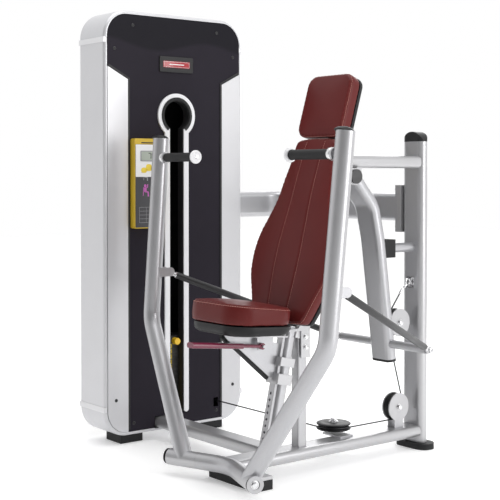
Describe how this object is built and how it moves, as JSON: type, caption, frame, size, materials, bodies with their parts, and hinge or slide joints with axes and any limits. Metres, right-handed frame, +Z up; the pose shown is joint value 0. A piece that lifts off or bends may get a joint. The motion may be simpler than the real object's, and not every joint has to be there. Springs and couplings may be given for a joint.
{
  "type": "seated press machine",
  "caption": "Seated converging chest and shoulder press with linked arms, a pivoting rocker, an adjustable seat and a cabled weight-stack tower.",
  "frame": {"origin": "on the floor, at the middle of the machine's bounding box", "axes": "+Z up; the user faces -Y; the weight tower stands on the -X side"},
  "size_m": [1.3915, 1.1009, 1.64],
  "materials": {
    "frame_paint": "silver powder coat, fine metallic grain, satin",
    "tower_silver": "silver-painted moulding, semi-gloss",
    "pale_trim": "pale silver moulding, semi-gloss",
    "panel_charcoal": "charcoal, high gloss",
    "black_plastic": "moulded, fine texture",
    "rubber_black": "moulded rubber",
    "maroon_leather": "fine-grained upholstery leather with pale stitching",
    "bright_steel": "bright plated",
    "dark_steel": "black enamel, satin",
    "cast_weights": "black painted iron",
    "cable_jacket": "black nylon jacket on steel cable",
    "lever_maroon": "maroon enamel, gloss",
    "pin_yellow": "yellow moulded knob",
    "placard_yellow": "yellow moulded case"
  },
  "bodies": {
    "frame": {"main_beam": "frame_paint", "cross_beam": "frame_paint", "rear_upright": "frame_paint", "backrest_beam": "frame_paint", "backrest_spine": "frame_paint", "tie_beam": "frame_paint", "seat_post": "frame_paint", "pivot_housing": "frame_paint", "pivot_shafts": "bright_steel", "guide_rods": "bright_steel", "fasteners": "bright_steel", "cable_anchor": "bright_steel", "tower_frame": "dark_steel", "rocker_axle": "dark_steel", "upright_cap": "black_plastic", "backrest_shell": "black_plastic", "headrest_shell": "black_plastic", "badge": "black_plastic", "rear_foot": "rubber_black", "front_foot": "rubber_black", "tower_feet": "rubber_black", "bumper_block": "rubber_black", "backrest_pad": "maroon_leather", "headrest_pad": "maroon_leather", "tower_cap": "tower_silver", "tower_band": "tower_silver", "tower_base": "tower_silver", "side_strips": "tower_silver", "trim_bands": "pale_trim", "slot_trim": "pale_trim", "front_panel": "panel_charcoal", "back_panel": "black_plastic", "placard": "placard_yellow", "weight_plates": "cast_weights", "press_cable": "cable_jacket"},
    "rocker": {"rocker": "frame_paint", "rocker_end_cap": "black_plastic", "lower_cable_span": "cable_jacket", "upper_cable_span": "cable_jacket"},
    "moving_pulley": {"moving_pulley": "black_plastic"},
    "right_link": {"right_link": "dark_steel"},
    "left_link": {"left_link": "dark_steel"},
    "right_arm": {"right_arm": "frame_paint", "right_arm_ends": "black_plastic", "right_grip": "rubber_black"},
    "left_arm": {"left_arm": "frame_paint", "left_arm_ends": "black_plastic", "left_grip": "rubber_black"},
    "base_pulley": {"base_pulley": "black_plastic"},
    "floor_pulley": {"floor_pulley": "black_plastic"},
    "outlet_pulley": {"outlet_pulley": "black_plastic"},
    "stack_pulley": {"stack_pulley": "black_plastic"},
    "turn_pulley": {"turn_pulley": "black_plastic"},
    "stack": {"head_plate": "cast_weights", "stack_cable": "cable_jacket"},
    "selector_pin": {"selector_pin": "pin_yellow"},
    "seat_carriage": {"seat_carriage": "frame_paint", "seat_pan": "black_plastic", "seat_pad": "maroon_leather"},
    "seat_lever": {"seat_lever": "lever_maroon"}
  },
  "joints": [
    {"name": "rocker_swing", "type": "hinge", "parent": "frame", "child": "rocker", "pos_m": [0.177, 0.141, 1.015], "axis": [-1, 0, 0], "range_deg": [0, 21.8], "deforming": ["lower_cable_span", "upper_cable_span"]},
    {"name": "right_arm_swing", "type": "hinge", "parent": "frame", "child": "right_arm", "pos_m": [0.355, -0.42711, 0.062], "axis": [0.9397, -0.342, 0], "range_deg": [0, 22]},
    {"name": "left_arm_swing", "type": "hinge", "parent": "frame", "child": "left_arm", "pos_m": [-0.001, -0.42711, 0.062], "axis": [0.9397, 0.342, 0], "range_deg": [0, 22]},
    {"name": "right_link_swing", "type": "hinge", "parent": "rocker", "child": "right_link", "pos_m": [0.411, 0.3365, 0.406], "axis": [0.8661, -0.4452, -0.2273], "range_deg": [0, 20]},
    {"name": "left_link_swing", "type": "hinge", "parent": "rocker", "child": "left_link", "pos_m": [-0.057, 0.3365, 0.406], "axis": [0.8661, 0.4452, 0.2273], "range_deg": [0, 20]},
    {"name": "moving_pulley_spin", "type": "hinge", "parent": "rocker", "child": "moving_pulley", "pos_m": [0.177, 0.409, 0.475], "axis": [-1, 0, 0], "range_deg": [0, 245]},
    {"name": "base_pulley_spin", "type": "hinge", "parent": "frame", "child": "base_pulley", "pos_m": [0.177, 0.404, 0.163], "axis": [1, 0, 0], "range_deg": [0, 270]},
    {"name": "floor_pulley_spin", "type": "hinge", "parent": "frame", "child": "floor_pulley", "pos_m": [0.12, 0.146, 0.117], "axis": [0, 0, 1], "range_deg": [0, 220]},
    {"name": "outlet_pulley_spin", "type": "hinge", "parent": "frame", "child": "outlet_pulley", "pos_m": [-0.575, 0.089, 0.147], "axis": [0, -1, 0], "range_deg": [0, 415]},
    {"name": "stack_pulley_spin", "type": "hinge", "parent": "frame", "child": "stack_pulley", "pos_m": [-0.605, -0.058, 1.545], "axis": [-1, 0, 0], "range_deg": [0, 270]},
    {"name": "turn_pulley_spin", "type": "hinge", "parent": "frame", "child": "turn_pulley", "pos_m": [-0.605, 0.043, 1.545], "axis": [-1, 0, 0], "range_deg": [0, 270]},
    {"name": "stack_lift", "type": "slide", "parent": "frame", "child": "stack", "axis": [0, 0, 1], "range_m": [0, 0.215], "deforming": ["stack_cable"]},
    {"name": "pin_pull", "type": "slide", "parent": "stack", "child": "selector_pin", "axis": [1, 0, 0], "range_m": [0, 0.1]},
    {"name": "seat_slide", "type": "slide", "parent": "frame", "child": "seat_carriage", "axis": [0, 0.2164, 0.9763], "range_m": [0, 0.06]},
    {"name": "seat_lever_lift", "type": "hinge", "parent": "seat_carriage", "child": "seat_lever", "pos_m": [0.207, -0.257, 0.451], "axis": [-1, 0, 0], "range_deg": [0, 6]}
  ],
  "couplings": [
    {"joint": "right_arm_swing", "follows": "rocker_swing", "ratio": 0.99845},
    {"joint": "left_arm_swing", "follows": "rocker_swing", "ratio": 0.99845},
    {"joint": "right_link_swing", "follows": "rocker_swing", "ratio": 0.9048},
    {"joint": "left_link_swing", "follows": "rocker_swing", "ratio": 0.9048},
    {"joint": "moving_pulley_spin", "follows": "rocker_swing", "ratio": 11.06},
    {"joint": "base_pulley_spin", "follows": "rocker_swing", "ratio": 12.211},
    {"joint": "floor_pulley_spin", "follows": "rocker_swing", "ratio": 9.854},
    {"joint": "outlet_pulley_spin", "follows": "rocker_swing", "ratio": 18.723},
    {"joint": "stack_pulley_spin", "follows": "rocker_swing", "ratio": 12.211},
    {"joint": "turn_pulley_spin", "follows": "rocker_swing", "ratio": 12.211},
    {"joint": "stack_lift", "follows": "rocker_swing", "m_per_rad": 0.5617}
  ]
}
